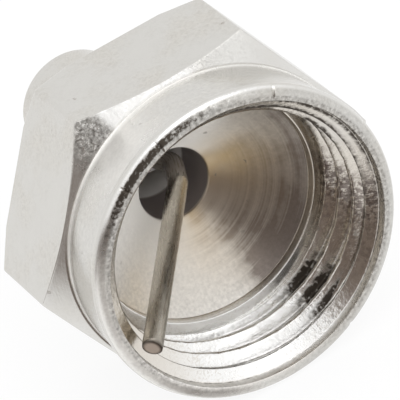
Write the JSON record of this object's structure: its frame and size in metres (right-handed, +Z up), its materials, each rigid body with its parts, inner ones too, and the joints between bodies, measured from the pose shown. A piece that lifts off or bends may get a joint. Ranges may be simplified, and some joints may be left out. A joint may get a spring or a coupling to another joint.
{
  "type": "coaxial terminator",
  "caption": "Plated screw-on coaxial terminator: a chamfered hexagon with a round collar, a threaded socket, a bare centre wire bent to one side and a load resistor in the narrow tail.",
  "frame": {"origin": "centre of the mouth, on the axis, in the plane of the rim", "axes": "-Y out of the mouth along the axis, +Z up through a flat of the hexagon, +X to the right of someone facing the mouth"},
  "size_m": [0.0128, 0.0139, 0.0112],
  "materials": {
    "nickel_plate": "bright nickel plate on turned metal, with fine turning marks",
    "tinned_wire": "dull tinned copper wire",
    "resistor_coat": "baked resin coat",
    "solder": "frosted soft solder"
  },
  "bodies": {
    "root": {"connector_body": "nickel_plate", "centre_pin": "tinned_wire", "load_resistor": "resistor_coat", "ground_lead": "tinned_wire", "solder_joint": "solder"}
  },
  "joints": []
}
